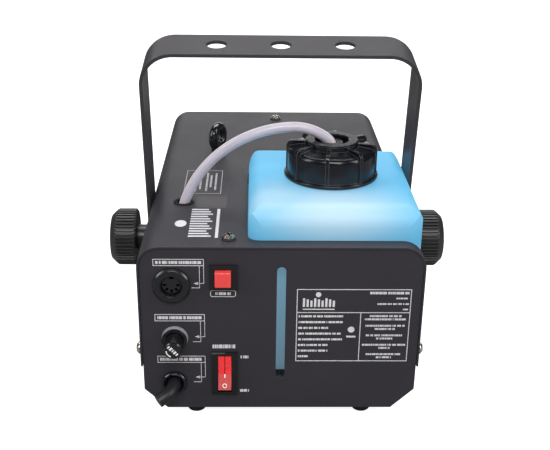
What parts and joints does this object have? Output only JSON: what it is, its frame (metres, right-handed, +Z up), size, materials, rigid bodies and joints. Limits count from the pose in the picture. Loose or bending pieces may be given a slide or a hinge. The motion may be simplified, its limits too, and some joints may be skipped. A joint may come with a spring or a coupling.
{
  "type": "fog machine",
  "caption": "Stage fog machine: folded charcoal body with lift-out blue fluid tank, screw cap with feed tube, clamp-knob yoke, control panel, pump, heater and nozzle.",
  "frame": {"origin": "centre of the bounding box in plan, on the floor under the feet", "axes": "+X to the right seen from the control panel, +Y from the control panel to the fog outlet, +Z up"},
  "size_m": [0.2378, 0.319, 0.2269],
  "materials": {
    "body_paint": "fine textured powder coat, charcoal",
    "zinc_sheet": "zinc-plated sheet",
    "screws": "yellow-zinc plated",
    "steel": "turned steel",
    "tank_plastic": "translucent light blue polyethylene",
    "fluid": "clear blue fluid",
    "cap_plastic": "black moulded polypropylene, satin",
    "knob_plastic": "black moulded nylon",
    "tube_silicone": "milky silicone",
    "black_rubber": "moulded rubber",
    "black_gloss": "smooth black",
    "red_plastic": "translucent red, glossy",
    "brass": "machined brass",
    "alu": "cast aluminium",
    "ceramic": "ceramic",
    "wool": "ceramic wool",
    "board": "fibreglass board",
    "copper": "copper",
    "felt": "closed-cell foam"
  },
  "bodies": {
    "machine": {"base_tray": "body_paint", "control_panel": "body_paint", "front_panel": "body_paint", "top_cover": "body_paint", "cover_side_screws": "screws", "cover_top_screws": "screws", "screw_washers": "black_rubber", "rubber_feet": "black_rubber", "foot_screws": "steel", "feed_tube": "tube_silicone", "tube_grommet": "black_rubber", "tank_bay": "zinc_sheet", "tank_pad": "felt", "safety_eye": "black_gloss", "safety_eye_nut": "steel", "pivot_nuts": "steel", "remote_socket": "black_gloss", "remote_socket_insert": "black_gloss", "socket_fuse_nuts": "steel", "fuse_holder": "black_gloss", "strain_relief": "black_gloss", "power_cord": "black_rubber", "fog_switch_body": "black_gloss", "button_spring": "steel", "power_switch_body": "black_gloss", "pump_frame": "zinc_sheet", "pump_coil": "black_gloss", "pump_cylinder": "brass", "pump_spring": "steel", "pump_bracket": "zinc_sheet", "outlet_pipe": "copper", "heater_block": "alu", "heating_cartridges": "steel", "thermostats": "ceramic", "insulation": "wool", "heat_shield": "zinc_sheet", "heater_standoffs": "ceramic", "nozzle": "brass", "nozzle_guard": "black_gloss", "control_board": "board", "wiring": "black_rubber"},
    "tank_unit": {"tank": "tank_plastic", "fog_fluid": "fluid"},
    "cap_insert": {"tube_gland": "cap_plastic", "cap_seal": "tube_silicone", "pickup_tube": "tube_silicone", "suction_filter": "brass"},
    "cap": {"tank_cap": "cap_plastic"},
    "yoke_frame": {"yoke": "body_paint"},
    "left_clamp": {"left_washer": "steel"},
    "left_knob_unit": {"left_knob": "knob_plastic", "left_knob_stud": "steel"},
    "right_clamp": {"right_washer": "steel"},
    "right_knob_unit": {"right_knob": "knob_plastic", "right_knob_stud": "steel"},
    "fog_push": {"fog_button": "red_plastic"},
    "rocker": {"power_rocker": "red_plastic"},
    "fuse_carrier": {"fuse": "steel"},
    "fuse_cap_unit": {"fuse_cap": "black_gloss"},
    "piston": {"pump_piston": "steel"}
  },
  "joints": [
    {"name": "yoke_tilt", "type": "hinge", "parent": "machine", "child": "yoke_frame", "pos_m": [0, -0.02911, 0.0786], "axis": [1, 0, 0], "range_deg": [-74, 78]},
    {"name": "tank_lift", "type": "slide", "parent": "machine", "child": "tank_unit", "axis": [0, 0, 1], "range_m": [0, 0.035], "deforming": ["feed_tube"]},
    {"name": "cap_rise", "type": "slide", "parent": "tank_unit", "child": "cap_insert", "axis": [0, 0, 1], "range_m": [0, 0.006]},
    {"name": "cap_turn", "type": "hinge", "parent": "cap_insert", "child": "cap", "pos_m": [0.0338, -0.06771, 0.141], "axis": [0, 0, 1], "range_deg": [0, 540]},
    {"name": "left_clamp_travel", "type": "slide", "parent": "machine", "child": "left_clamp", "axis": [-1, 0, 0], "range_m": [0, 0.003]},
    {"name": "left_knob_turn", "type": "hinge", "parent": "left_clamp", "child": "left_knob_unit", "pos_m": [0, -0.02911, 0.0786], "axis": [-1, 0, 0], "range_deg": [0, 1080]},
    {"name": "right_clamp_travel", "type": "slide", "parent": "machine", "child": "right_clamp", "axis": [1, 0, 0], "range_m": [0, 0.003]},
    {"name": "right_knob_turn", "type": "hinge", "parent": "right_clamp", "child": "right_knob_unit", "pos_m": [0, -0.02911, 0.0786], "axis": [1, 0, 0], "range_deg": [0, 1080]},
    {"name": "fog_button_press", "type": "slide", "parent": "machine", "child": "fog_push", "axis": [0, 1, 0], "range_m": [0, 0.003], "stiffness_N_per_m": 400, "deforming": ["button_spring"]},
    {"name": "power_rocker_tilt", "type": "hinge", "parent": "machine", "child": "rocker", "pos_m": [-0.035, -0.13451, 0.03325], "axis": [1, 0, 0], "range_deg": [0, 22]},
    {"name": "fuse_slide", "type": "slide", "parent": "machine", "child": "fuse_carrier", "axis": [0, -1, 0], "range_m": [0, 0.03]},
    {"name": "fuse_cap_turn", "type": "hinge", "parent": "fuse_carrier", "child": "fuse_cap_unit", "pos_m": [-0.066, -0.13951, 0.0585], "axis": [0, -1, 0], "range_deg": [0, 90]},
    {"name": "pump_stroke", "type": "slide", "parent": "machine", "child": "piston", "axis": [0, 1, 0], "range_m": [-0.002, 0.002], "stiffness_N_per_m": 2000, "deforming": ["pump_spring"]}
  ],
  "couplings": [
    {"joint": "cap_rise", "follows": "cap_turn", "m_per_rad": 0.00063662},
    {"joint": "left_clamp_travel", "follows": "left_knob_turn", "m_per_rad": 0.00015915},
    {"joint": "right_clamp_travel", "follows": "right_knob_turn", "m_per_rad": 0.00015915}
  ]
}
